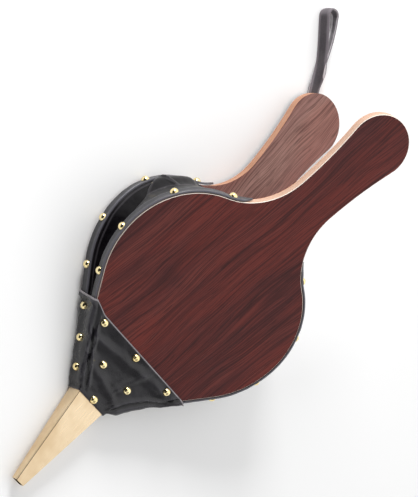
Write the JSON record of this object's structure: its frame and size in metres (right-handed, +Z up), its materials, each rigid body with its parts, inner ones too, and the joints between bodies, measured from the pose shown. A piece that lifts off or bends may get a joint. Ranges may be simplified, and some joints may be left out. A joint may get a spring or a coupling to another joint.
{
  "type": "hand bellows",
  "caption": "Fireplace hand bellows: two wooden boards hinged at the nose, a pleated leather gusset, a folded brass nozzle and a leather hanging strap.",
  "frame": {"origin": "middle of the object's length, on the surface the bellows lies on when it is put down on its rear board", "axes": "+X along the length from the nozzle's tip to the handles, +Z up from the rear board to the front board, +Y across"},
  "size_m": [0.4668, 0.1898, 0.1186],
  "materials": {
    "board_wood": "satin, softly rounded edges",
    "mahogany_face": "varnished, satin gloss",
    "walnut_face": "satin",
    "nozzle_brass": "satin, folded sheet",
    "tack_brass": "polished",
    "iron": "dull",
    "black_leather": "smooth, satin",
    "band_leather": "smooth, satin",
    "gusset_leather": "glossy",
    "flap_leather": "matte",
    "strap_leather": "matte"
  },
  "bodies": {
    "rear": {"rear_board_core": "board_wood", "rear_inner_veneer": "walnut_face", "rear_outer_veneer": "mahogany_face", "nose_block": "board_wood", "nozzle": "nozzle_brass", "nozzle_pins": "iron", "nose_cover": "black_leather", "rear_band_left": "band_leather", "rear_band_right": "band_leather", "gusset": "gusset_leather", "rear_band_tacks": "tack_brass", "cover_front_tacks": "tack_brass", "cover_rear_tacks": "tack_brass", "cover_side_tacks": "tack_brass", "flap_tab": "flap_leather", "flap_tab_tacks": "iron", "lap_screws": "iron", "strap_screw": "iron"},
    "front": {"front_board_core": "board_wood", "front_inner_veneer": "walnut_face", "front_outer_veneer": "mahogany_face", "nose_cover_flap": "black_leather", "front_band_left": "band_leather", "front_band_right": "band_leather", "front_band_tacks": "tack_brass", "cover_hinge_tacks": "tack_brass"},
    "flap": {"valve_flap": "flap_leather"},
    "strap": {"hanging_strap": "strap_leather"}
  },
  "joints": [
    {"name": "pump", "type": "hinge", "parent": "rear", "child": "front", "pos_m": [-0.10887, 0, 0.0157], "axis": [0, -1, 0], "range_deg": [-16.5, 0], "deforming": ["gusset"]},
    {"name": "valve", "type": "hinge", "parent": "rear", "child": "flap", "pos_m": [-0.05287, 0, 0.0121], "axis": [0, -1, 0], "range_deg": [0, 9]},
    {"name": "strap_swivel", "type": "hinge", "parent": "rear", "child": "strap", "pos_m": [0.15913, 0.006, 0.0025], "axis": [0, 0, 1], "range_deg": [-60, 60]}
  ]
}
